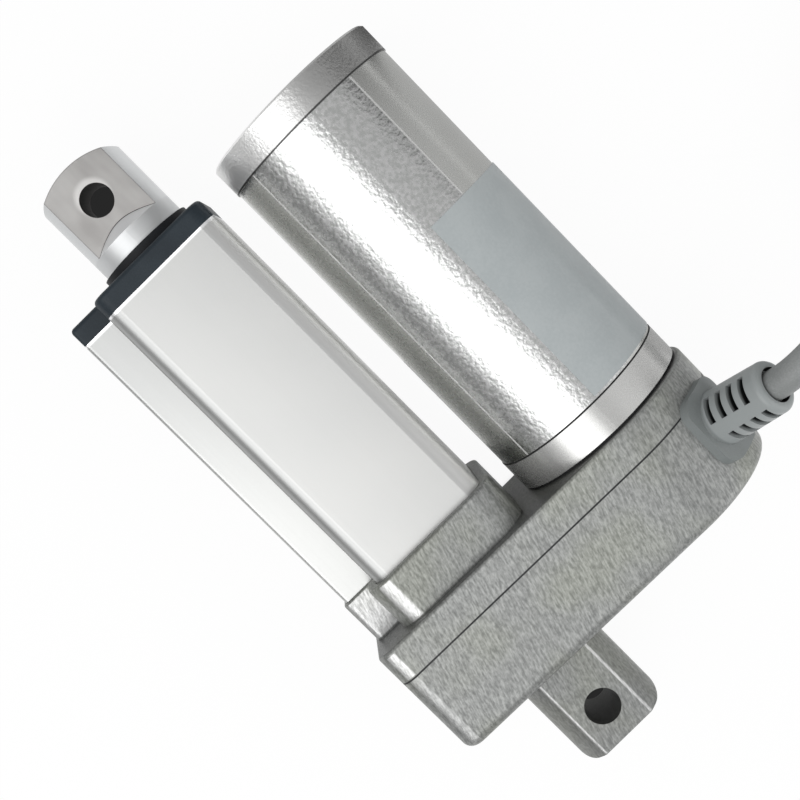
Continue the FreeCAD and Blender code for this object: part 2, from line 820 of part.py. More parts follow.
def limit_switch_board():
    """Strip on the channel's outer wall."""
    first, last = switch_places()
    half = channel_half - channel_wall - fit_gap
    y1 = channel_y1 - channel_wall
    return block(first - board_over, last + switch_length + board_over, y1 - board_thick, y1, -half, half)


def limit_switches():
    """Two switches on the board, facing the cam."""
    y1 = channel_y1 - channel_wall - board_thick
    half = switch_height / 2
    return [block(x, x + switch_length, switch_face(), y1, -half, half) for x in switch_places()]


def rating_label():
    """Thin sheet wrapped on the motor can, from its top down the outer side."""
    x0 = ring_x + label_gap

    def place(radius, share):
        angle = label_start + share * label_wrap
        return V(x0, motor_y + radius * math.cos(angle), radius * math.sin(angle))

    inner = can_r + seat_gap
    outer = inner + label_thick
    outline = [
        Part.Arc(place(outer, 0), place(outer, 0.5), place(outer, 1)),
        Part.LineSegment(place(outer, 1), place(inner, 1)),
        Part.Arc(place(inner, 1), place(inner, 0.5), place(inner, 0)),
        Part.LineSegment(place(inner, 0), place(outer, 0)),
    ]
    face = Part.Face(Part.Wire([curve.toShape() for curve in outline]))
    return face.extrude(V(label_length, 0, 0))


def strain_relief():
    """Saddle flange on the round end, a neck through the wall and a slotted sleeve."""
    top = motor_end_r + relief_flange
    end = top + sleeve_length
    pad = Part.makeBox(relief_long, relief_wide, top, V(-relief_long / 2, -relief_wide / 2, 0))
    pad = pad.makeFillet(relief_corner, [e for e in pad.Edges if e.BoundBox.ZLength > top / 2])
    saddle = ring(top, motor_end_r, -relief_long, relief_long)
    neck_z = motor_end_r - base_wall
    sleeve_z = top - relief_flange / 2
    neck = Part.makeCylinder(relief_neck_d / 2, top - neck_z, V(0, 0, neck_z), UP)
    sleeve = Part.makeCone(sleeve_d / 2, sleeve_end_d / 2, end - sleeve_z, V(0, 0, sleeve_z), UP)
    sleeve = sleeve.makeFillet(sleeve_round, [e for e in sleeve.Edges if e.BoundBox.ZMin > end - seat_gap])
    body = pad.common(saddle).fuse([neck, sleeve]).removeSplitter()
    root = cable_d / 2 + fit_gap + slot_root
    slot_pitch = (sleeve_length - sleeve_ring - slot_first - slot_width / 2) / (slot_count - 0.5)
    cuts = [
        Part.makeCylinder(cable_d / 2 + fit_gap, end, V(0, 0, 0), UP),
        Part.makeCylinder(cable_d / 2 + mouth_gap, mouth_depth, V(0, 0, end - mouth_depth), UP),
    ]
    for row in range(slot_rows):
        stagger = slot_pitch / 2 * (row % 2)
        for slot in range(slot_count):
            level = top + slot_first + slot * slot_pitch + stagger - slot_width / 2
            one = Part.makeBox(sleeve_d, slot_span, slot_width, V(root, -slot_span / 2, level))
            cuts.append(one.rotated(V(0, 0, 0), UP, 360 / slot_rows * (row + 0.5)))
    return at_relief(body.cut(cuts))


def round_coil(angle, radius, z):
    """Place on the coil, with the angle in degrees from +X."""
    turn = math.radians(angle)
    return V(coil_x + radius * math.cos(turn), coil_y + radius * math.sin(turn), z)


def cable_route():
    """Hand-laid points of the cable from the strain relief's neck to the coil's upper turn."""
    lean = math.radians(relief_angle)
    way = V(0, -math.cos(lean), math.sin(lean))
    axis = V(relief_x, motor_y, 0)
    joint = round_coil(coil_entry, coil_r, coil_top - cable_d / 2)
    onward = round_coil(coil_entry + 90, entry_run, 0) - V(coil_x, coil_y, 0)
    return [
        axis + way * (motor_end_r - base_wall),
        axis + way * cable_rise,
        cable_crest,
        cable_foot,
        joint - onward,
        joint,
    ]


def tube_along(points, radius):
    """Round tube along straight runs joined by tangent arcs, with the arcs' radii."""
    edges = []
    radii = []
    here = points[0]
    for before, at, after in zip(points, points[1:], points[2:]):
        back = before - at
        on = after - at
        reach = cable_bend * min(back.Length, on.Length)
        back.normalize()
        on.normalize()
        turn = math.pi - back.getAngle(on)
        bend_r = reach / math.tan(turn / 2)
        centre_way = back + on
        centre_way.normalize()
        centre = at + centre_way * (bend_r / math.cos(turn / 2))
        leave = at + back * reach
        edges.append(Part.LineSegment(here, leave).toShape())
        here = at + on * reach
        edges.append(Part.Arc(leave, centre - centre_way * bend_r, here).toShape())
        radii.append(bend_r)
    edges.append(Part.LineSegment(here, points[-1]).toShape())
    path = Part.Wire(edges)
    way = points[1] - points[0]
    section = Part.Wire(Part.Circle(points[0], way, radius).toShape())
    return path.makePipeShell([section], True, False), path.Length, radii


def cord_lead():
    """Cable from the gearbox, through the strain relief and down to the coil."""
    tube, length, radii = tube_along(cable_route(), cable_d / 2)
    print("cable length", round(length, 1), "bend radii", [round(r, 1) for r in radii])
    return tube


def coil_ring(inner, outer, z0, z1, start, turn):
    """Part of a turn of the coil, as a ring with a square section."""
    place = V(coil_x, coil_y, z0)
    sector = Part.makeCylinder(outer, z1 - z0, place, UP, turn)
    sector = sector.cut(Part.makeCylinder(inner, z1 - z0, place, UP))
    return sector.rotated(place, UP, start)


def cord_coil():
    """Outer form of the coil: two turns side by side and part of a turn on them."""
    half = cable_d / 2
    inner = coil_ring(coil_r - cable_d, coil_r, coil_low, coil_mid, 0, 360)
    outer = coil_ring(coil_r - turn_sink, coil_r + cable_d, coil_low, coil_mid, outer_turn_start, outer_turn)
    upper = coil_ring(coil_r - half, coil_r + half, coil_mid - turn_sink, coil_top, coil_entry, upper_turn)
    return inner.fuse([outer, upper]).removeSplitter()


def cord_tie():
    """Band round the turns of the coil."""
    inside = cable_d + fit_gap
    outside = inside + tie_thick
    half = tie_width / 2
    band = block(coil_r - outside, coil_r + outside, -half, half, table_z, coil_top + tie_thick)
    gap = block(coil_r - inside, coil_r + inside, -half, half, coil_low, coil_top)
    return band.cut(gap).rotated(V(0, 0, 0), UP, tie_angle).translated(V(coil_x, coil_y, 0))


def cord_cores():
    """Two wires that stand out of the jacket's end, in the outer lower turn."""
    mean = coil_r + cable_d / 2
    level = (coil_low + coil_mid) / 2
    made = []
    for side in (-1, 1):
        place = V(mean + side * core_wire_apart / 2, 0, level)
        wire = Part.makeCylinder(core_wire_d / 2, core_wire_length, place, V(0, 1, 0))
        turned = wire.rotated(V(0, 0, 0), UP, outer_turn_start + outer_turn)
        made.append(turned.translated(V(coil_x, coil_y, 0)))
    return made


NODES = [
    gearbox_base,
    gearbox_gasket,
    gearbox_cover,
    gearbox_screws,
    outer_tube,
    tube_screws,
    front_cap,
    cap_screws,
    wiper_seal,
    guide_bush,
    rod_tube,
    rod_eye,
    drive_nut,
    lead_screw,
    bearing_outer_race,
    bearing_inner_race,
    retaining_ring,
    rear_bush,
    screw_gear,
    idler_gear,
    idler_pin,
    motor_pinion,
    motor_shaft,
    motor_gasket,
    motor_ring,
    motor_screws,
    motor_front_bush,
    motor_can,
    motor_end_cap,
    motor_rear_bush,
    motor_magnets,
    armature_core,
    armature_windings,
    commutator,
    brush_card,
    carbon_brushes,
    brush_holders,
    limit_switch_board,
    limit_switches,
    rating_label,
    strain_relief,
    cord_lead,
    cord_coil,
    cord_tie,
    cord_cores,
]

os.makedirs("parts", exist_ok=True)
for node in NODES:
    made = node()
    shape = Part.makeCompound(made) if isinstance(made, list) else made
    shape.exportStep("parts/" + node.__name__ + ".step")
    print(node.__name__, len(shape.Solids), "solids", round(shape.Volume, 1), "mm3", shape.isValid())
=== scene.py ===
# %% [markdown]
# # An electric linear actuator, dressed for its picture
#
# The solids come ready made from the part's source: tube, rod, gearbox, motor and cable.
# This lesson lights them, gives each metal and rubber its finish, and makes what
# the solids leave plain: the cable, its tie and bare wires, and the heads of the screws.

# %% Load the solids
import json
import math

import bpy
import numpy as np
from mathutils import Matrix, Vector


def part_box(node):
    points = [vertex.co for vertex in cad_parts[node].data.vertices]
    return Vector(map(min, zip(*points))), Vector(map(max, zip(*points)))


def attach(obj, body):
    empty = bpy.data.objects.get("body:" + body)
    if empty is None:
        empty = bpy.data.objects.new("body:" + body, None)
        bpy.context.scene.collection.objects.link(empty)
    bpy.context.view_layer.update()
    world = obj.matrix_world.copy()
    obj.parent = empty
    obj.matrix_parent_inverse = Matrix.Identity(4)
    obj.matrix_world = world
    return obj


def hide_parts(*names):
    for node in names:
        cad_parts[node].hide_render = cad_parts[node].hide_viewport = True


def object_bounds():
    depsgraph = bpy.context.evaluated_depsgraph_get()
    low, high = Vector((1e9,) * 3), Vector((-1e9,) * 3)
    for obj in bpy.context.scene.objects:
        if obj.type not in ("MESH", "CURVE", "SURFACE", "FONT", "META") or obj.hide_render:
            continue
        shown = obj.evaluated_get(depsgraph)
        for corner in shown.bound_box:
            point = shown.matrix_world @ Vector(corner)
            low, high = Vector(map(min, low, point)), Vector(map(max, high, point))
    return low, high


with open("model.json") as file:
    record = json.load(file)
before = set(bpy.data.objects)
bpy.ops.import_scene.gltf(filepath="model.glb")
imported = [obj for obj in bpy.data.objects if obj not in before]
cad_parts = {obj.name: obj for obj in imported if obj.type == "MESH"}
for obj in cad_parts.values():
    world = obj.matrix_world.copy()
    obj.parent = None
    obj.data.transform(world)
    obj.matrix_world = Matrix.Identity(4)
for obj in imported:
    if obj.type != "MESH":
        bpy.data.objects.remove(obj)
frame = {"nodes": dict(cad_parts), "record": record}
cad_box = [list(corner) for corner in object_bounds()]
scene = bpy.context.scene
scene.view_settings.view_transform = "Standard"

# %% [markdown]
# ## The camera
#
# The picture was taken from almost straight above, from about 27 cm away, so the eye end
# and the gearbox both lean outwards. A camera could be aimed by eye. Here its place and
# its three directions were fitted to the corners and holes that the picture shows, so
# every edge falls where it should.

# %% Place the camera
camera_place = (0.0960, -0.02065, 0.2655)
right = Vector((-0.70058, -0.71162, 0.05269))
up = Vector((0.70627, -0.70206, -0.09108))
back = Vector((0.10180, -0.02660, 0.99445))
camera_turn = Matrix((right, up, back)).transposed()
camera = bpy.data.objects.new("camera", bpy.data.cameras.new("camera"))
scene.collection.objects.link(camera)
camera.matrix_world = Matrix.Translation(camera_place) @ camera_turn.to_4x4()
camera.data.sensor_width = 36.0
camera.data.lens = 62.39
scene.camera = camera
print("camera lens:", round(camera.data.lens, 2), "mm")

# %% [markdown]
# ## The cable
#
# A round two-core cable leaves the strain relief, comes down to the table and is coiled
# and tied for storage. It could be a tube of straight runs and arcs, but a real cable has
# no such corners. A smooth spline takes the laid points as its control points and rounds
# them by itself. In the coil, each control point stands a little outside the turn,
# because the spline passes inside its corners.

# %% Lay the lead's points
cable_d = 0.0058
lead_points = np.array([
    (0.02640, -0.05120, 0.01280),
    (0.02640, -0.05820, 0.01980),
    (0.02640, -0.06881, 0.03041),
    (0.02900, -0.09100, 0.02600),
    (0.00000, -0.11700, -0.00100),
    (-0.00426, -0.13539, -0.01080),
    (0.00361, -0.15486, -0.01077),
])
print("lead: control points", len(lead_points))

# %% Lay the coil's points
coil_middle = np.array([0.0305, -0.1440])
inner_turn, middle_turn, outer_turn = 26.05, 29.00, 31.95
lower_layer, upper_layer, raised_part = -16.58, -10.75, -10.65
first_angle, last_angle, turn_step = 214.0, 1120.0, 24.0
turn_stops = np.array([  # degrees round the coil, mean radius and height, in millimetres
    (202, middle_turn, upper_layer),
    (390, middle_turn, upper_layer),
    (410, middle_turn, raised_part),
    (452, 28.80, raised_part),
    (476, 27.50, -11.40),
    (500, 26.20, -14.40),
    (524, inner_turn, lower_layer),
    (752, inner_turn, lower_layer),
    (788, middle_turn, lower_layer),
    (824, outer_turn, lower_layer),
    (last_angle, outer_turn, lower_layer),
])
angles = np.arange(first_angle, last_angle, turn_step)
bearing = np.radians(angles)
spline_share = 0.75 + 0.25 * math.cos(math.radians(turn_step))  # of a control point's radius
reach = np.interp(angles, turn_stops[:, 0], turn_stops[:, 1]) / spline_share / 1000
level = np.interp(angles, turn_stops[:, 0], turn_stops[:, 2]) / 1000
coil_points = np.stack([
    coil_middle[0] + reach * np.cos(bearing),
    coil_middle[1] + reach * np.sin(bearing),
    level,
], axis=1)
print("coil: control points", len(coil_points))

# %% Place the cable's end
cable_end = math.radians(last_angle)
end_out = np.array([math.cos(cable_end), math.sin(cable_end), 0.0])
end_way = np.array([-math.sin(cable_end), math.cos(cable_end), 0.0])
end_place = np.array([*coil_middle, lower_layer / 1000]) + outer_turn / 1000 * end_out
route = np.vstack([lead_points, coil_points, end_place])
print("cable ends at", end_place.round(4).tolist())

# %% Make the cable
cable_line = bpy.data.curves.new("cable", "CURVE")
cable_line.dimensions = "3D"
spline = cable_line.splines.new("NURBS")
spline.points.add(len(route) - 1)
spline.points.foreach_set("co", np.hstack([route, np.ones((len(route), 1))]).ravel())
spline.points.foreach_set("radius", np.full(len(route), cable_d / 2))
spline.order_u = 3
spline.use_endpoint_u = True
spline.resolution_u = 8
cable_line.bevel_depth = 1.0
cable_line.bevel_resolution = 6
cable_line.use_fill_caps = True
cable = bpy.data.objects.new("cable", cable_line)
scene.collection.objects.link(cable)
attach(cable, "housing")
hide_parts("cord_lead", "cord_coil")
print("cable: diameter", cable_d, "control points", len(route))

# %% [markdown]
# ## Surfaces from numbers
#
# A made piece is a grid of points, worked out for the whole grid at once from two
# parameters, such as how far along and how far round. A turned piece carries its profile
# round an axis, and a wire or band carries its section along a path. One helper then
# turns any grids into one closed mesh.

# %% Turn grids of points into a mesh
crease = math.radians(35)


def surface(name, grids, body, looped=False):
    """Joins grids of (rows, columns, 3), closed round their columns, with ends capped or looped."""
    points, faces, base = [], [], 0
    for grid in grids:
        rows, columns = grid.shape[:2]
        index = base + np.arange(rows * columns).reshape(rows, columns)
        if looped:
            index = np.vstack([index, index[:1]])
        else:
            faces += [index[0, ::-1].tolist(), index[-1].tolist()]
        after = np.roll(index, -1, axis=1)
        quads = np.stack([index[:-1], after[:-1], after[1:], index[1:]], axis=-1)
        faces += quads.reshape(-1, 4).tolist()
        points.append(grid.reshape(-1, 3))
        base += rows * columns
    mesh = bpy.data.meshes.new(name)
    mesh.from_pydata(np.vstack(points).tolist(), [], faces)
    mesh.shade_smooth()
    mesh.set_sharp_from_angle(angle=crease)
    piece = bpy.data.objects.new(name, mesh)
    scene.collection.objects.link(piece)
    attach(piece, body)
    print(name, "faces:", len(mesh.polygons))
    return piece


print("edges sharper than", round(math.degrees(crease)), "degrees stay creased")


# %% Carry a section along a path
def circle(count):
    """Points round the unit circle."""
    angle = np.linspace(0, 2 * np.pi, count, endpoint=False)
    return np.stack([np.cos(angle), np.sin(angle)], axis=-1)


def carried(path, section):
    """Section points (across, over) carried along a path, square to the path's own direction."""
    way = np.gradient(path, axis=0)
    way /= np.linalg.norm(way, axis=1, keepdims=True)
    over = np.array([0.0, 0.0, 1.0]) - way * way[:, 2:3]
    over /= np.linalg.norm(over, axis=1, keepdims=True)
    across = np.cross(over, way)
    return path[:, None] + across[:, None] * section[..., :1] + over[:, None] * section[..., 1:]


print("a section of 24 points:", circle(24).shape)

# %% [markdown]
# ## The cable's bare end
#
# The jacket ends in two insulated wires with tinned tips. Each wire is a circle carried
# along a line that bends away from its neighbour, and its radius steps down where the
# insulation was stripped off the strands.

# %% Shape a wire
wire_off = 0.00115
wire_bend = 0.0016
wire_inside = 0.0008


def wire(side, length, stops):
    """Circle carried along a line: straight on from the jacket, and outwards as the square of the way."""
    share = np.linspace(0, 1, 48)
    aside = side * (wire_off + wire_bend * share**2)
    path = end_place + end_way * (share * length - wire_inside)[:, None] + end_out * aside[:, None]
    size = np.interp(share, *zip(*stops))
    return carried(path, circle(24) * size[:, None, None])


print("wires bend apart by", wire_bend, "m each")

# %% Make the two wires
insulated, stripped = 0.0095, 0.0138
insulation = [(0.0, 0.00095), (0.97, 0.00095), (1.0, 0.00075)]  # share of the length, and radius
strands = [(0.0, 0.0005), (0.95, 0.0005), (1.0, 0.0003)]
tips = [wire(1, stripped, strands), wire(-1, stripped, strands)]
core_wires = [
    surface("core_wire_red", [wire(1, insulated, insulation)], "housing"),
    surface("core_wire_black", [wire(-1, insulated, insulation)], "housing"),
    surface("core_tips", tips, "housing"),
]
for piece in core_wires:
    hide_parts("cord_cores")

# %% [markdown]
# ## The tie
#
# A plastic tie holds the turns. Pulled tight, its band follows the outline of the three
# cables that it holds: straight from one to the next and round each of them. In every
# direction, the band touches the cable that lies furthest that way, so a single line of
# arithmetic finds the whole outline. Its head and tail sit at the top, on a slope.

# %% Place the tie
tie_angle = math.radians(300.0)
tie_height = -0.01366
tie_out = np.array([math.cos(tie_angle), math.sin(tie_angle), 0.0])
tie_way = np.array([-math.sin(tie_angle), math.cos(tie_angle), 0.0])
tie_up = np.array([0.0, 0.0, 1.0])
tie_middle = np.array([*coil_middle, tie_height]) + middle_turn / 1000 * tie_out
held = np.array([(-0.00295, -0.00292), (0.00295, -0.00292), (0.0, 0.00291)])  # outwards and up
print("tie round", len(held), "turns at", tie_middle.round(4).tolist())


# %% Make the band
def band(radius, edge):
    """String round three circles: for each direction, the furthest circle's own point that way."""
    way = circle(120)
    spot = held[np.argmax(way @ held.T, axis=1)] + radius * way
    return tie_middle + spot[:, :1] * tie_out + spot[:, 1:] * tie_up + edge * tie_way


inner, outer, half = 0.00300, 0.00370, 0.00200
strip = np.array([band(inner, -half), band(outer, -half), band(outer, half), band(inner, half)])
tie_band = surface("cable_tie_band", [strip[:, ::-1]], "housing", looped=True)
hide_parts("cord_tie")


# %% Make the head and the tail
def rounded_block(middle, halves, axes, power=0.28):
    """Superellipsoid: sines and cosines of both angles raised to a small power, which squares them up."""
    lift = np.linspace(-0.498, 0.498, 28) * np.pi
    spin = np.linspace(0, 2 * np.pi, 56, endpoint=False)

    def squared(value):
        return np.sign(value) * np.abs(value) ** power

    wide = squared(np.cos(lift))[:, None] * squared(np.cos(spin))
    deep = squared(np.cos(lift))[:, None] * squared(np.sin(spin))
    high = squared(np.sin(lift))[:, None] * np.ones_like(spin)
    shares = np.stack([wide, deep, high], axis=-1) * halves
    return middle + shares @ np.array(axes)


slope = math.radians(27)
lean_out = math.cos(slope) * tie_out + math.sin(slope) * tie_up
lean_down = math.sin(slope) * tie_out - math.cos(slope) * tie_up
head_out, head_up = 0.0056, 0.0004
head_place = tie_middle + head_out * lean_out + head_up * tie_up
head_halves = (0.0029, 0.0023, 0.0027)
head_axes = (tie_way, lean_out, np.cross(tie_way, lean_out))
tail_start, tail_length, tail_bend = 0.001, 0.0095, 0.0012
tail_wide, tail_thick = 0.0018, 0.0004
run = np.linspace(0, 1, 20)[:, None]
tail_path = head_place - (tail_start + tail_length * run) * lean_down + tail_bend * run**2 * lean_out
tail_section = np.array([(-1, -1), (1, -1), (1, 1), (-1, 1)]) * (tail_wide, tail_thick)
head_grids = [rounded_block(head_place, head_halves, head_axes), carried(tail_path, tail_section)]
tie_head = surface("cable_tie_head", head_grids, "housing")
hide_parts("cord_tie")

# %% [markdown]
# ## The screws
#
# Four small screws hold the front cap, and four larger ones the gearbox. The solids have
# plain heads. A cross recess could be cut with a boolean, but here the head's top is a
# height over radius and angle, and the recess is a smooth dip in it: deep where the point
# lies near one of two crossing lines, and none outside the cross.

# %% Shape a screw
def eased(value, low, high):
    """Smooth step: 0 at low, 1 at high and a cubic between them."""
    share = np.clip((value - low) / (high - low), 0, 1)
    return share * share * (3 - 2 * share)


arm_edge = (0.19, 0.12)  # where an arm of the cross begins and is full, in shares of the head's radius
arm_end = (0.66, 0.56)
arm_deep, arm_rise = 0.42, 0.35


def cross_screw(place, way, head_r, head_h, shank_r, length):
    """Profile carried round the screw's axis, with the cross recess dipped into its top."""
    across = np.array([0.0, 1.0, 0.0])
    aside = np.array([0.0, 0.0, -float(way)])
    inwards = np.array([-float(way), 0.0, 0.0])
    top = np.linspace(0.02, 0.9, 26)
    edge_r = [0.97 * head_r, head_r, head_r, shank_r, shank_r, 0.6 * shank_r]
    edge_h = [0.05 * head_h, 0.16 * head_h, head_h, head_h, length - 0.5 * shank_r, length]
    radius = np.concatenate([top * head_r, edge_r])[:, None]
    depth = np.concatenate([0 * top, edge_h])[:, None]
    flat = radius[..., None] * circle(72)
    near = np.abs(flat).min(axis=-1) / head_r
    dip = eased(near, *arm_edge) * eased(radius / head_r, *arm_end)
    depth = depth + arm_deep * head_r * dip * (1 - arm_rise * radius / head_r)
    return place + flat[..., :1] * across + flat[..., 1:] * aside + depth[..., None] * inwards


print("cross recess: depth", arm_deep, "of the head's radius")


# %% Make the screws
def screws(name, node, places, x, way, sizes):
    """The same screw at every place, with its head towards way along the rod."""
    grids = [cross_screw(np.array([x, y, z]), way, *sizes) for y, z in places]
    piece = surface(name, grids, "housing")
    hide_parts(node)
    return piece


back_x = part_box("gearbox_screws")[0][0]
front_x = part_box("cap_screws")[1][0]
back_places = [(0.01775, -0.01245), (0.01775, 0.01245), (-0.0384, -0.01525), (-0.0384, 0.01525)]
front_places = [(y, z) for y in (-0.01025, 0.01025) for z in (-0.01025, 0.01025)]
back_sizes = (0.0027, 0.0026, 0.0015, 0.0230)  # head's radius and height, shank's radius, length
front_sizes = (0.0020, 0.0016, 0.0011, 0.0119)
gearbox_screws = screws("gearbox_cross_screws", "gearbox_screws", back_places, back_x, -1, back_sizes)
cap_screws = screws("cap_cross_screws", "cap_screws", front_places, front_x, 1, front_sizes)
print("screws: back at", round(back_x, 4), "front at", round(front_x, 4))

# %% [markdown]
# ## Arithmetic for shaders
#
# A finish is a small sum over the surface: stretched noise for brushed streaks, blobs for
# a mottled plating, a soft step for an edge. Nodes could be placed and linked one by one.
# Instead a small class wraps a socket, so that such sums are written as they are read,
# and every other node comes from one method.

# %% Wrap a socket
class Sock:
    """One output of a node tree. Sums with numbers or other outputs add Math nodes."""

    def __init__(self, tree, socket=None):
        self.tree = tree
        self.socket = socket

    def node(self, kind, settings=None, inputs=None, out=0):
        """Adds a node: its settings first, then the values or links of its sockets."""
        made = self.tree.nodes.new("ShaderNode" + kind)
        for name, value in (settings or {}).items():
            setattr(made, name, value)
        for name, value in (inputs or {}).items():
            if isinstance(value, Sock):
                self.tree.links.new(value.socket, made.inputs[name])
            else:
                made.inputs[name].default_value = value
        return Sock(self.tree, made.outputs[out] if made.outputs else None)

    def sum(self, operation, first, second=0.0):
        return self.node("Math", {"operation": operation}, {0: first, 1: second})

    def larger(self, other):
        return self.sum("MAXIMUM", self, other)

    def __abs__(self):
        return self.sum("ABSOLUTE", self)

    def __add__(self, other):
        return self.sum("ADD", self, other)

    def __sub__(self, other):
        return self.sum("SUBTRACT", self, other)

    def __rsub__(self, other):
        return self.sum("SUBTRACT", other, self)

    def __mul__(self, other):
        return self.sum("MULTIPLY", self, other)

    __radd__ = __add__
    __rmul__ = __mul__


print("sockets add, subtract, multiply and compare")


# %% Measure the place on the object
def along(place, axis):
    """One coordinate of the place on the object."""
    return place.node("SeparateXYZ", {}, {0: place}, "XYZ".index(axis))


def away(place, point, across=(1, 1, 1)):
    """Distance from a point, with only the directions that across keeps."""
    apart = place.node("VectorMath", {"operation": "SUBTRACT"}, {0: place, 1: point})
    kept = place.node("VectorMath", {"operation": "MULTIPLY"}, {0: apart, 1: across})
    return place.node("VectorMath", {"operation": "LENGTH"}, {0: kept}, "Value")


def soft_step(value, low, high):
    """0 below low, 1 above high, and smooth between them."""
    ends = {"Value": value, "From Min": low, "From Max": high}
    return value.node("MapRange", {"interpolation_type": "SMOOTHSTEP"}, ends)


def between(value, low, high, soft):
    """1 between low and high, and softly 0 outside them."""
    return soft_step(value, low - soft, low + soft) * (1.0 - soft_step(value, high - soft, high + soft))


round_z = (1, 1, 0)  # directions to keep for the distance from an upright axis
print("masks: steps, bands and distances")


# %% Mix noise and colours
def noise(place, size, stretch=(1, 1, 1), turn=(0, 0, 0), detail=2.0, rough=0.5):
    """Noise from 0 to 1 with blobs of about this size in millimetres, drawn out by stretch."""
    spread = {"Vector": place, "Rotation": turn, "Scale": [size * share for share in stretch]}
    where = place.node("Mapping", {"vector_type": "TEXTURE"}, spread)
    return place.node("TexNoise", {}, {"Vector": where, "Scale": 1.0, "Detail": detail, "Roughness": rough})


def grey(level):
    """Even grey, as a colour."""
    return (level, level, level)


def tint(mask, first, second):
    """Colour that goes from first to second with the mask."""
    ends = [(*colour, 1.0) if isinstance(colour, tuple) else colour for colour in (first, second)]
    return mask.node("Mix", {"data_type": "RGBA"}, {0: mask, 6: ends[0], 7: ends[1]}, 2)


print("noise and colours ready")


# %% Make a finish
def empty_material(name):
    """New material without nodes, and a start to add them from."""
    material = bpy.data.materials.new(name)
    material.use_nodes = True
    material.node_tree.nodes.clear()
    return material, Sock(material.node_tree)


def object_place(start):
    """The place on the object, in millimetres."""
    metres = start.node("TexCoord", out="Object")
    return start.node("VectorMath", {"operation": "SCALE"}, {0: metres, "Scale": 1000.0})


def finish(name, paint):
    """Material whose paint takes the place on the object and gives the shader's inputs and a relief."""
    material, start = empty_material(name)
    inputs = paint(object_place(start))
    height, depth = inputs.pop("relief")
    relief = {"Height": height, "Strength": 1.0, "Distance": depth / 1000}
    inputs["Normal"] = start.node("Bump", {}, relief)
    shader = start.node("BsdfPrincipled", {}, inputs)
    start.node("OutputMaterial", {}, {"Surface": shader})
    print("finish:", name, "with", len(material.node_tree.nodes), "nodes")
    return material


# %% [markdown]
# ## The cast gearbox
#
# The gearbox halves are die castings under a thin silver paint. Short streaks run roughly
# along the rod, with broad patches of warmer and cooler grey. Noise drawn out along the rod
# and turned a little gives the streaks, both in colour and as a shallow relief. The upper parts
# of the rounded corners, the collar's step and the edges of the stub's top get painted
# highlights: each corner is found from the angle round its own centre. Painted shade makes
# the paint a little darker towards the tube, on the cover's front face and on the stub, and
# paints the bore of the stub near black.

# %% Find the painted highlights
tube_corner = (10.3, 10.3)  # centres of the rounded corners, outwards and up, in millimetres
box_corner = (19.2, 13.9)
collar_run = (39.2, 48.2)  # runs along the rod, from and to, in millimetres
cover_run = (32.6, 38.2)
base_run = (15.2, 32.0)
step_run = (39.4, 48.2)
stub_run = (-7.3, 13.0)
step_side = (16.2, 21.4)
stub_top = (7.75, 8.5)
stub_edge = (5.75, 6.3)


def corner_highlight(place, centre, run):
    """1 on the upper part of the rounded corners about this centre, along a run of the rod."""
    out = along(place, "Y") - centre[0]
    over = abs(along(place, "Z")) - centre[1]
    turn = out.sum("ARCTAN2", out, over)
    return between(turn, 0.06, 0.60, 0.05) * between(along(place, "X"), *run, 0.1)


def cast_highlight(place):
    """Painted highlight on the castings: their corners, the collar's step and the edges of the stub's top.
    """
    x, y, z = [along(place, axis) for axis in "XYZ"]
    highlight = corner_highlight(place, tube_corner, collar_run) * 0.65
    highlight = highlight + corner_highlight(place, box_corner, cover_run) * 0.6
    highlight = highlight + corner_highlight(place, box_corner, base_run) * 0.22
    step = between(x, *step_run, 0.1) * between(y, *step_side, 0.3)
    stub = between(x, *stub_run, 0.2) * between(z, *stub_top, 0.1)
    edge = stub * between(abs(y), *stub_edge, 0.1)
    return highlight.larger(step * 0.6).larger(edge * 0.7)


print("rubbed runs:", collar_run, cover_run, base_run)

# %% Paint the castings
front_face = (38.85, 39.25)  # the cover's front face, along the rod
motor_side = (-16.0, -13.0)  # where that face passes under the motor, across the rod
painted_shade_ramp = (-52.0, 22.0)  # from the motor's end of the box to the tube's
stub_root = (12.6, 14.2)
stub_slope = (6.2, 6.6)
rear_bore = (3.60, 3.66)  # inside and outside the bore's edge, from its axis


def cast_paint(place):
    """Streaked silver with patches, painted highlights, painted shade and a bore painted near black."""
    x, y = along(place, "X"), along(place, "Y")
    streaks = noise(place, 0.42, (3.8, 1, 1), (0, 0, math.radians(-16)), rough=0.55)
    grain = streaks * 0.7 + noise(place, 0.60) * 0.3
    tone = soft_step(grain, 0.28, 0.72)
    cool = tint(tone, (0.182, 0.188, 0.184), (0.380, 0.388, 0.378))
    warm = tint(tone, (0.189, 0.197, 0.175), (0.385, 0.396, 0.362))
    paint = tint(soft_step(noise(place, 14.0, detail=1.0), 0.35, 0.65), cool, warm)
    # painted shade: a little darker towards the tube's side, lighter towards the motor's end of the box
    paint = tint(soft_step(y, *painted_shade_ramp) * 0.24, paint, (0.07, 0.07, 0.066))
    bright = cast_highlight(place) * (tone * 0.4 + 0.6)
    # painted highlight on the corners, the collar's step and the stub's edges, paler where the grain is
    # paler
    paint = tint(bright, paint, grey(0.80))
    motor_shade = 1.0 - soft_step(y, *motor_side)
    # painted shade on the cover's front face, darker still where it passes under the motor
    paint = tint(between(x, *front_face, 0.1) * (motor_shade * 0.20 + 0.46), paint, grey(0.05))
    # painted shade: the stub a little darker, and its sloped sides darker still
    slope_shade = soft_step(abs(y), *stub_slope)
    paint = tint((1.0 - soft_step(x, *stub_root)) * (slope_shade * 0.17 + 0.13), paint, grey(0.07))
    # painted shade: the stub's bore painted near black
    bore = 1.0 - soft_step(away(place, (0, 0, 0), round_z), *rear_bore)
    return {
        "Base Color": tint(bore, paint, (0.030, 0.032, 0.028)),
        "Metallic": 0.55 + bright * 0.35 - bore * 0.5,
        "Roughness": 0.46 - tone * 0.10 - bright * 0.10 + bore * 0.3,
        "relief": (grain, 0.06),
    }


cast_alloy = finish("cast_alloy", cast_paint)
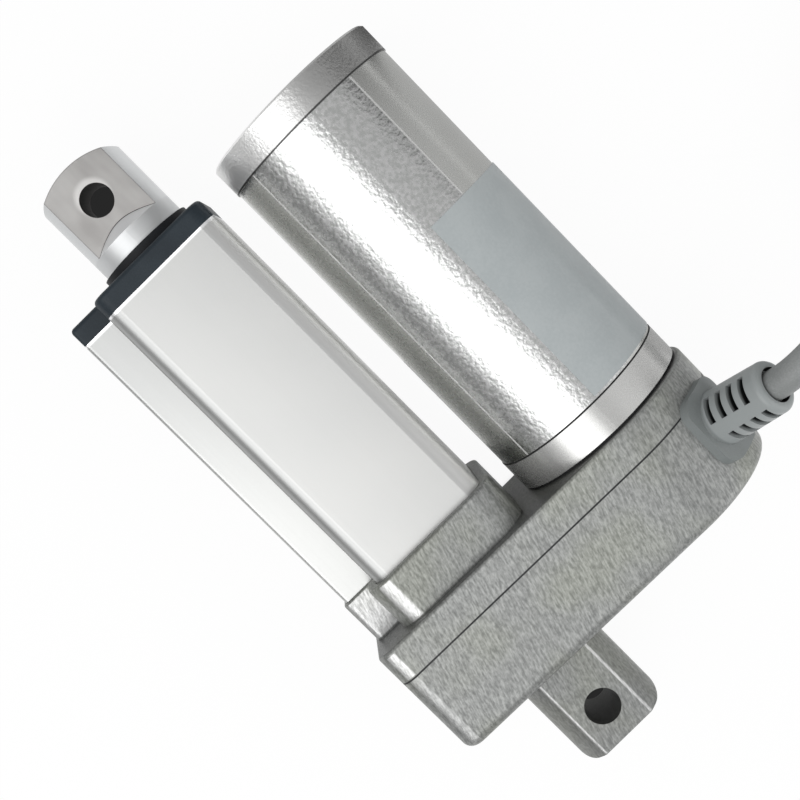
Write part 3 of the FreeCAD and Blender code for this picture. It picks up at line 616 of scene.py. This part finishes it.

# %% [markdown]
# ## The tube
#
# The tube is an anodised extrusion: pale, satin, with faint lines along its length and a
# bright sawn edge at the cap. The lines are noise drawn out very long in one direction.
# Next to the side channel the tube's rounded corner is greyer than the flats and dark at its
# root, as painted shade. The corner on the motor's side is painted paler, as painted light.
# The channel is painted lighter towards the gearbox's end and darker towards the cap, as
# painted light and shade.

# %% Paint the tube
sawn_end = (117.1, 117.5)  # along the rod, in millimetres
channel_fade = (62.0, 116.0)
channel_start = (13.4, 13.8)  # across the rod, towards the channel
corner_shade = (10.3, 10.9)
corner_root = (13.0, 13.3)
motor_corner = (-13.0, -10.3)
channel_top = (4.6, 4.8)


def tube_paint(place):
    """Satin grey with lines along it, painted light and shade on the channel and the corners, and a bright
    sawn end.
    """
    x, y = along(place, "X"), along(place, "Y")
    lines = noise(place, 0.22, (300, 1, 1), detail=3.0)
    body = tint(noise(place, 20.0, detail=1.0), (0.490, 0.495, 0.490), (0.535, 0.535, 0.525))
    # painted light and shade: the channel lighter towards the gearbox's end, darker towards the cap
    channel = tint(soft_step(x, *channel_fade), (0.575, 0.580, 0.570), (0.475, 0.480, 0.475))
    body = tint(soft_step(y, *channel_start), body, channel)
    above = soft_step(abs(along(place, "Z")), *channel_top)
    # painted shade: the rounded corner next to the channel greyer than the flats
    body = tint(above * soft_step(y, *corner_shade), body, (0.415, 0.420, 0.415))
    # painted shade: a dark line at the corner's root
    body = tint(above * soft_step(y, *corner_root), body, (0.24, 0.24, 0.235))
    # painted light: the corner on the motor's side paler
    corner = 1.0 - soft_step(y, *motor_corner)
    body = tint(corner, body, (0.76, 0.76, 0.75))
    sawn = soft_step(x, *sawn_end)
    return {
        "Base Color": tint(sawn, body, (0.94, 0.94, 0.95)),
        "Metallic": 1.0,
        "Roughness": 0.38 + lines * 0.06 - sawn * 0.1 + corner * 0.17,
        "relief": (lines, 0.004),
    }


tube_alloy = finish("tube_alloy", tube_paint)

# %% [markdown]
# ## The rod
#
# The rod and its eye are turned steel, so their faint lines run round them. The eye's flats
# are milled and duller than its neck. The neck is painted near white as painted light. Fine
# dark lines of painted shade run along the flats' edges, a painted highlight lies beside the
# hole away from the tube, and the bore is painted near black as painted shade. Each place is
# found by its height or by its distance from the eye's axis, so the paint needs no seams.

# %% Paint the rod
eye_x = 135.0  # the pin's axis, along the rod, in millimetres
highlight_x = 135.9  # the middle of the painted highlight beside the hole
eye_start = (127.1, 127.3)
flat_height = (5.96, 6.03)
flat_line = (6.05, 6.22)
neck_height = (6.25, 6.40)
side_line = (7.22, 7.50)
end_line = (16.25, 16.40)  # from the middle of the eye's rounded end
end_middle = (126.5, 0, 0)
eye_bore = (3.20, 3.26)
highlight_ring = (2.9, 4.0)


def rod_paint(place):
    """Turned steel with a milled eye: duller flats, painted light on the neck, painted shade along the
    flats' edges and in the bore, and a painted highlight beside the hole.
    """
    height = abs(along(place, "Z"))
    lines = noise(place, 0.10, (1, 400, 400), detail=3.0)
    haze = noise(place, 5.0, (2.5, 1, 1))
    eye = soft_step(along(place, "X"), *eye_start)
    cone = eye * soft_step(height, *neck_height)
    # painted light: the neck and the eye's round sides painted near white
    turned = tint(cone, tint(haze, (0.60, 0.61, 0.615), (0.70, 0.71, 0.715)), (0.93, 0.94, 0.95))
    # painted shade: a fine dark line along each flat's edge
    turned = tint(eye * between(height, *flat_line, 0.03), turned, grey(0.10))
    # painted shade: darker lines along the flats' sides and round end
    rim = between(abs(along(place, "Y")), *side_line, 0.06)
    rim = rim.larger(soft_step(away(place, end_middle, round_z), *end_line))
    flats = tint(soft_step(haze, 0.3, 0.7), (0.30, 0.292, 0.285), (0.40, 0.392, 0.384))
    flats = tint(rim * 0.35, flats, grey(0.12))
    # painted highlight: a bright crescent beside the hole, away from the tube
    hole_highlight = 1.0 - soft_step(away(place, (highlight_x, 0, 0), round_z), *highlight_ring)
    flats = tint(hole_highlight * 0.7, flats, (0.62, 0.61, 0.60))
    milled = between(height, *flat_height, 0.02) * eye
    # painted shade: the eye's bore painted near black
    bore = 1.0 - soft_step(away(place, (eye_x, 0, 0), round_z), *eye_bore)
    return {
        "Base Color": tint(bore, tint(milled, turned, flats), (0.030, 0.028, 0.026)),
        "Metallic": 1.0 - cone * 0.6,
        "Roughness": 0.44 + lines * 0.10 - eye * 0.10 + bore * 0.5,
        "relief": (lines, 0.004),
    }


rod_steel = finish("rod_steel", rod_paint)

# %% [markdown]
# ## The motor
#
# The can is bright plated steel with a clear film over its top. The film is slightly mottled,
# so wherever a reflection ends, it breaks up into grains, and its two long edges show as thin
# light lines. The grain is a relief, not a colour: noise with blobs of under a millimetre.
# The film is found from the angle round the motor's axis. The end cap is a smoother casting
# than the gearbox, without paint, painted lighter on the tube's side and darker on the far
# side, as painted light and shade.

# %% Paint the can
motor_y = -38.4  # the motor's axis, across the rod, in millimetres
can_start = (46.0, 46.1)
ring_joint = (45.75, 46.05)
film_from, film_to = -0.510, 0.881  # radians round the motor's axis, from straight up
film_edge, film_lap = 0.018, 0.002


def can_paint(place):
    """Plated steel, mottled under the film and bare beside it, with a dark joint at the front ring."""
    x, z = along(place, "X"), along(place, "Z")
    grain = noise(place, 0.80, detail=1.0)
    can = soft_step(x, *can_start)
    joint = between(x, *ring_joint, 0.03)
    turn = z.sum("ARCTAN2", along(place, "Y") - motor_y, z)
    film = between(turn, film_from, film_to, 0.004) * can
    left = between(turn, film_from - film_edge, film_from + film_lap, 0.004)
    right = between(turn, film_to - film_lap, film_to + film_edge, 0.004)
    edges = (left + right) * can
    body = tint(soft_step(grain, 0.3, 0.7), (0.53, 0.54, 0.53), grey(0.66))
    bare = tint(noise(place, 12.0, detail=1.0), (0.66, 0.665, 0.645), (0.74, 0.745, 0.725))
    bare = tint(can, (0.56, 0.56, 0.55), bare)
    steel = tint(edges, tint(film, bare, body), (0.66, 0.66, 0.65))
    return {
        "Base Color": tint(joint, steel, grey(0.03)),
        "Metallic": 0.72 + can * 0.28 - edges * 0.6,
        "Roughness": 0.22 + grain * 0.10 + joint * 0.3,
        "relief": (grain * film + edges * 0.8, 0.075),
    }


can_steel = finish("can_steel", can_paint)

# %% Paint the end cap
end_joint = (117.95, 118.10)
end_lit_side = (-43.0, -20.0)


def end_paint(place):
    """Bare cast alloy, painted lighter towards the tube and darker away from it with an uneven border, as
    painted light and shade, and dark at the can's joint.
    """
    grain = noise(place, 0.60, detail=1.0)
    joint = 1.0 - soft_step(along(place, "X"), *end_joint)
    # painted light and shade: lighter on the tube's side, darker on the far side
    painted_light = soft_step(along(place, "Y") + noise(place, 9.0) * 8.0, *end_lit_side)
    alloy = tint(painted_light, (0.375, 0.375, 0.370), (0.85, 0.85, 0.845))
    return {
        "Base Color": tint(joint, alloy, grey(0.08)),
        "Metallic": 0.80,
        "Roughness": 0.28 + grain * 0.14,
        "relief": (grain, 0.070),
    }


end_alloy = finish("end_alloy", end_paint)

# %% [markdown]
# ## The strain relief
#
# The sleeve round the cable is soft grey rubber. Its skin is paler than its flange, and its
# slots and its mouth are painted near black inside, as painted shade. The sleeve leans out at
# half a right angle, so the paint measures along that way and away from it, and no part of
# the pattern has to be drawn.

# %% Paint the strain relief
relief_root = (26.4, motor_y, 0)
relief_way = (0, -math.sqrt(0.5), math.sqrt(0.5))
sleeve_start = (21.9, 22.5)
slots_end = (33.4, 33.8)
slot_floor = (4.2, 5.0)
sleeve_bore = (3.45, 3.6)


def relief_paint(place):
    """Grey rubber, paler on the sleeve's skin, and painted shade inside its slots and its mouth."""
    start = place.node("VectorMath", {"operation": "SUBTRACT"}, {0: place, 1: relief_root})
    out = place.node("VectorMath", {"operation": "DOT_PRODUCT"}, {0: start, 1: relief_way}, "Value")
    off = place.node("VectorMath", {"operation": "CROSS_PRODUCT"}, {0: start, 1: relief_way})
    far = away(off, (0, 0, 0))
    slots = (1.0 - soft_step(far, *slot_floor)) * (1.0 - soft_step(out, *slots_end))
    # painted shade: near black inside the slots and the mouth
    dark = slots.larger(1.0 - soft_step(far, *sleeve_bore))
    fine = noise(place, 0.30)
    skin = tint(soft_step(out, *sleeve_start), (0.165, 0.180, 0.178), (0.285, 0.305, 0.305))
    rubber = tint(fine * 0.5, skin, (0.25, 0.27, 0.27))
    return {
        "Base Color": tint(dark, rubber, (0.008, 0.009, 0.009)),
        "Roughness": 0.32 + fine * 0.12,
        "relief": (fine, 0.012),
    }


relief_rubber = finish("relief_rubber", relief_paint)

# %% [markdown]
# ## Plastics, rubbers and the small metals
#
# The remaining finishes differ only in colour, gloss and grain, so one function makes
# them all: two shades mixed by fine and broad noise, and a grain of a given size. Most of
# them are inside and show only when the object is taken apart.

# %% Paint the rest
def plain(name, dark, light, metal, rough, grain, depth, gloss=0.0, shine=0.5):
    """Two shades mixed by noise, with a relief of the same grain."""

    def paint(place):
        fine = noise(place, grain)
        broad = noise(place, 6.0, detail=1.0)
        return {
            "Base Color": tint(soft_step(fine * 0.5 + broad * 0.5, 0.35, 0.65), dark, light),
            "Specular IOR Level": shine,
            "Metallic": metal,
            "Roughness": rough + fine * 0.12,
            "Coat Weight": gloss,
            "relief": (fine, depth),
        }

    return finish(name, paint)


plain_looks = {  # two shades, metal, roughness, grain and its depth in millimetres, gloss, shine
    "black_nylon": ((0.010, 0.017, 0.024), (0.017, 0.026, 0.034), 0.0, 0.42, 0.20, 0.010, 0.0, 0.3),
    "screw_steel": ((0.42, 0.42, 0.43), (0.58, 0.58, 0.59), 1.0, 0.28, 0.15, 0.004),
    "gasket_rubber": ((0.010, 0.010, 0.011), (0.022, 0.022, 0.024), 0.0, 0.65, 0.20, 0.010),
    "seal_rubber": ((0.006, 0.007, 0.009), (0.012, 0.014, 0.017), 0.0, 0.50, 0.25, 0.010, 0.0, 0.25),
    "acetal": ((0.66, 0.65, 0.61), (0.76, 0.75, 0.71), 0.0, 0.40, 0.30, 0.006),
    "bronze": ((0.36, 0.24, 0.11), (0.50, 0.36, 0.18), 1.0, 0.40, 0.20, 0.008),
    "brass": ((0.60, 0.44, 0.17), (0.74, 0.57, 0.25), 1.0, 0.30, 0.20, 0.005),
    "copper": ((0.52, 0.22, 0.10), (0.70, 0.33, 0.17), 1.0, 0.34, 0.25, 0.010),
    "magnet": ((0.030, 0.030, 0.032), (0.060, 0.060, 0.064), 0.4, 0.60, 0.30, 0.012),
    "lamination": ((0.20, 0.20, 0.21), (0.32, 0.32, 0.33), 1.0, 0.45, 0.25, 0.010),
    "board": ((0.020, 0.090, 0.040), (0.035, 0.130, 0.060), 0.0, 0.40, 0.30, 0.006, 0.4),
    "card": ((0.120, 0.060, 0.025), (0.180, 0.095, 0.045), 0.0, 0.55, 0.30, 0.010),
    "carbon": ((0.012, 0.012, 0.012), (0.030, 0.030, 0.030), 0.0, 0.60, 0.20, 0.010),
    "label": ((0.360, 0.392, 0.400), (0.392, 0.424, 0.430), 0.0, 0.34, 0.60, 0.003, 0.3),
    "cable_jacket": ((0.205, 0.215, 0.213), (0.255, 0.265, 0.262), 0.0, 0.42, 0.35, 0.010),
    "tinned_copper": ((0.55, 0.54, 0.51), (0.72, 0.71, 0.67), 1.0, 0.30, 0.15, 0.010),
    "tie": ((0.010, 0.010, 0.011), (0.020, 0.020, 0.022), 0.0, 0.38, 0.30, 0.006),
    "red_wire": ((0.42, 0.020, 0.018), (0.52, 0.035, 0.030), 0.0, 0.36, 0.30, 0.004),
    "black_wire": ((0.010, 0.010, 0.011), (0.020, 0.020, 0.022), 0.0, 0.36, 0.30, 0.004),
}
finishes = {
    "cast_alloy": cast_alloy,
    "tube_alloy": tube_alloy,
    "rod_steel": rod_steel,
    "can_steel": can_steel,
    "relief_rubber": relief_rubber,
}
for name, looks in plain_looks.items():
    finishes[name] = plain(name, *looks)
print("finishes:", len(finishes))

# %% Put the finishes on
for part in frame["record"]["subparts"]:
    for slot in frame["nodes"][part["node"]].material_slots:
        slot.material = finishes[part["material_slot"]]
frame["nodes"]["motor_end_cap"].material_slots[0].material = end_alloy
made_finishes = [
    (cable, "cable_jacket"),
    (core_wires[0], "red_wire"),
    (core_wires[1], "black_wire"),
    (core_wires[2], "tinned_copper"),
    (tie_band, "tie"),
    (tie_head, "tie"),
    (gearbox_screws, "screw_steel"),
    (cap_screws, "screw_steel"),
]
for piece, name in made_finishes:
    piece.data.materials.append(finishes[name])
print("finished pieces:", len(made_finishes))

# %% [markdown]
# ## The table
#
# The object lies on a white table. A bright lamp could wash a grey table out, but it would
# wash out the metal too. So the table's paper is white by itself to the camera and to
# reflections, and only near the object does it keep the natural shade.

# %% Mix the table's paper
rod_run, rod_y = (-7.3, 138.0), 1.6  # the line under tube, rod and stub, in millimetres
rod_shade = (2.0, 8.4)
shaded_areas = ((42, 118, -9, 19), (10, 36, -54, 19), (36, 119, -54, -24))  # tube, gearbox, motor
area_soft = 4
paper_grey, white_share = 0.9, 0.94


def seen_by(start, *kinds):
    """1 for rays of any of these kinds, such as those from the camera or from a reflection."""
    either = start.node("LightPath", out="Is " + kinds[0] + " Ray")
    for kind in kinds[1:]:
        either = either.larger(start.node("LightPath", out="Is " + kind + " Ray"))
    return either


def patch(place, x_from, x_to, y_from, y_to, soft):
    """1 on a soft-edged rectangle of the table."""
    return between(along(place, "X"), x_from, x_to, soft) * between(along(place, "Y"), y_from, y_to, soft)


def past_run(value, low, high):
    """0 between low and high, and outside them how far the value is past the nearer one."""
    over = abs(value - (low + high) / 2) - (high - low) / 2
    return over.larger(0.0)


def table_material():
    """Paper that is white to the camera and to reflections, and keeps the shade near the object."""
    material, start = empty_material("white_table")
    place = object_place(start)
    past = past_run(along(place, "X"), *rod_run)
    off = place.node("CombineXYZ", {}, {0: past, 1: along(place, "Y") - rod_y})
    under = 1.0 - soft_step(away(off, (0, 0, 0)), *rod_shade)
    for area in shaded_areas:
        under = under.larger(patch(place, *area, area_soft))
    paper = start.node("BsdfDiffuse", {}, {"Color": (*grey(paper_grey), 1)})
    white = start.node("Emission", {}, {"Color": (*grey(1), 1), "Strength": 1.0})
    direct = seen_by(start, "Camera") * (1.0 - under)
    shown = direct.larger(seen_by(start, "Glossy", "Transmission")) * white_share
    mixed = start.node("MixShader", {}, {0: shown, 1: paper, 2: white})
    start.node("OutputMaterial", {}, {"Surface": mixed})
    return material


print("shaded areas of the table:", len(shaded_areas))


# %% Make the table
def stage_mesh(name, points, faces, material):
    """Stage piece from points and faces."""
    mesh = bpy.data.meshes.new(name)
    mesh.from_pydata(points.tolist(), [], faces)
    mesh.shade_smooth()
    mesh.materials.append(material)
    piece = bpy.data.objects.new(name, mesh)
    scene.collection.objects.link(piece)
    return piece


table_z = cad_box[0][2]
table_half = 3.0
table_corners = np.array([(-1, -1), (1, -1), (1, 1), (-1, 1)]) * table_half
table_points = np.column_stack([table_corners, np.full(4, table_z)])
stage_mesh("table", table_points, [(0, 1, 2, 3)], table_material())
print("table at", round(table_z, 4))

# %% [markdown]
# ## The studio tent
#
# Polished metal shows what is round it more than its own colour. The picture was lit inside
# a pale grey tent, and the grey sides of the motor and the tube are that tent in the metal.
# It is a half sphere that glows by itself. The camera looks through it.

# %% Make the tent
def tent_material():
    """Grey glow, lighter overhead, bright high on the tube's side and dark near the table there."""
    material, start = empty_material("grey_tent")
    place = start.node("TexCoord", out="Object")
    x, y, z = [along(place, axis) for axis in "XYZ"]
    even = tint(soft_step(z, 0.0, 1.2), grey(0.50), grey(0.62))
    fade = tint(soft_step(z, 0.15, 0.85), grey(0.22), grey(0.95))
    glow = tint(soft_step(y, 0.35, 0.75), even, fade)
    behind = (1.0 - soft_step(x, -0.45, -0.15)) * (1.0 - soft_step(y, -0.7, -0.2))
    glow = tint(behind, glow, grey(1.6))
    shader = start.node("Emission", {}, {"Color": glow, "Strength": 1.0})
    start.node("OutputMaterial", {}, {"Surface": shader})
    return material


tent_r, tent_rows, tent_columns = 1.3, 13, 32
tent_middle = (0.07, -0.04)
lift = np.linspace(0, 0.5 * np.pi, tent_rows)[:, None]
spin = np.linspace(0, 2 * np.pi, tent_columns, endpoint=False)[None]
tent_points = np.stack([
    tent_middle[0] + tent_r * np.cos(lift) * np.cos(spin),
    tent_middle[1] + tent_r * np.cos(lift) * np.sin(spin),
    table_z + tent_r * np.sin(lift) * np.ones_like(spin),
], axis=-1).reshape(-1, 3)
index = np.arange(tent_rows * tent_columns).reshape(tent_rows, tent_columns)
after = np.roll(index, -1, axis=1)
tent_faces = np.stack([index[:-1], index[1:], after[1:], after[:-1]], axis=-1).reshape(-1, 4).tolist()
tent = stage_mesh("tent", tent_points, tent_faces, tent_material())
tent.visible_camera = False
print("tent faces:", len(tent_faces))

# %% [markdown]
# ## The cards
#
# A photographer holds grey and black cards beside bright metal to darken what it shows.
# Four such cards show only in reflections: beside the motor, at its end and in the gap to
# the tube, where the card is painted shade standing in for the table's shade there. The pivot
# holes are dark in the picture though the table is white, so a small black card lies close
# under each of them as painted shade, which shows through the hole.

# %% Cut a card
def card(name, level, corners):
    """Flat card with an even grey of its own, which gives no light and no shadow."""
    material, start = empty_material(name)
    shade = start.node("Emission", {}, {"Color": (*grey(level), 1), "Strength": 1.0})
    start.node("OutputMaterial", {}, {"Surface": shade})
    made = stage_mesh(name, np.array(corners), [tuple(range(len(corners)))], material)
    made.visible_diffuse = False
    made.visible_shadow = False
    print("card:", name, "level", level)
    return made


def mirror_card(name, level, corners):
    """Card that shows only in reflections."""
    card(name, level, corners).visible_camera = False


hole_shade_level = 0.021
hole_gap, hole_lap = 0.0006, 0.0004


def hole_shade_card(mount):
    """Round black card close under a pivot hole and a little wider, as painted shade that shows through the
    hole.
    """
    middle, sizes = mount["pos_m"], mount["dims"]
    under = middle[2] - sizes["length_mm"] / 2000 - hole_gap
    rim = circle(40) * (sizes["r_mm"] / 1000 + hole_lap) + middle[:2]
    points = np.column_stack([rim, np.full(len(rim), under)])
    card(mount["name"] + "_card", hole_shade_level, points).visible_glossy = False


print("black cards: level", hole_shade_level)

# %% Put the cards up
card_z = table_z + 0.001
lying_cards = {  # grey level, then x and y from and to, in metres
    "motor_side_card": (0.50, 0.030, 0.122, -0.45, -0.062),
    # painted shade: stands in for the table's shade between tube and motor, seen in reflections
    "gap_shade_card": (0.34, 0.037, 0.072, -0.022, -0.0125),
    "motor_corner_card": (0.06, 0.122, 0.138, -0.45, -0.062),
}
for name, (level, x_from, x_to, y_from, y_to) in lying_cards.items():
    sides = [(x_from, y_from), (x_to, y_from), (x_to, y_to), (x_from, y_to)]
    mirror_card(name, level, [(x, y, card_z) for x, y in sides])
standing_y = -0.60
standing = [(0.165, card_z), (0.80, card_z), (0.80, 0.45), (0.165, 0.45)]
mirror_card("motor_end_card", 0.05, [(x, standing_y, z) for x, z in standing])
for mount in frame["record"]["mounts"]:
    hole_shade_card(mount)

# %% [markdown]
# ## The panel and the world
#
# One wide soft panel above the tube's side lights the object, at a level at which a colour
# renders about as it is written. The world beyond the tent is plain white, to the camera
# and in reflections, and gives no other light.

# %% Hang the panel
panel_level = 1.8
panel_far = 0.55
aim_x, aim_y = -0.01, -0.02
panel_tilt = math.radians(29)
panel_data = bpy.data.lights.new("soft_panel", "AREA")
panel_data.shape = "RECTANGLE"
panel_data.size = 0.56
panel_data.size_y = 0.49
panel_data.energy = panel_level * math.pi * panel_data.size * panel_data.size_y
panel = bpy.data.objects.new("soft_panel", panel_data)
scene.collection.objects.link(panel)
panel_y = aim_y + panel_far * math.sin(panel_tilt)
panel.location = (aim_x, panel_y, panel_far * math.cos(panel_tilt))
panel.rotation_euler = (-panel_tilt, 0, 0)
print("panel watts:", round(panel_data.energy, 3))

# %% Make the world white
world = bpy.data.worlds.new("white_world")
world.use_nodes = True
world.node_tree.nodes.clear()
sky = Sock(world.node_tree)
seen = seen_by(sky, "Camera", "Glossy", "Transmission")
sky_glow = sky.node("Background", {}, {"Color": (*grey(1), 1), "Strength": seen})
sky.node("OutputWorld", {}, {"Surface": sky_glow})
scene.world = world
print("world:", world.name)

bpy.context.view_layer.update()
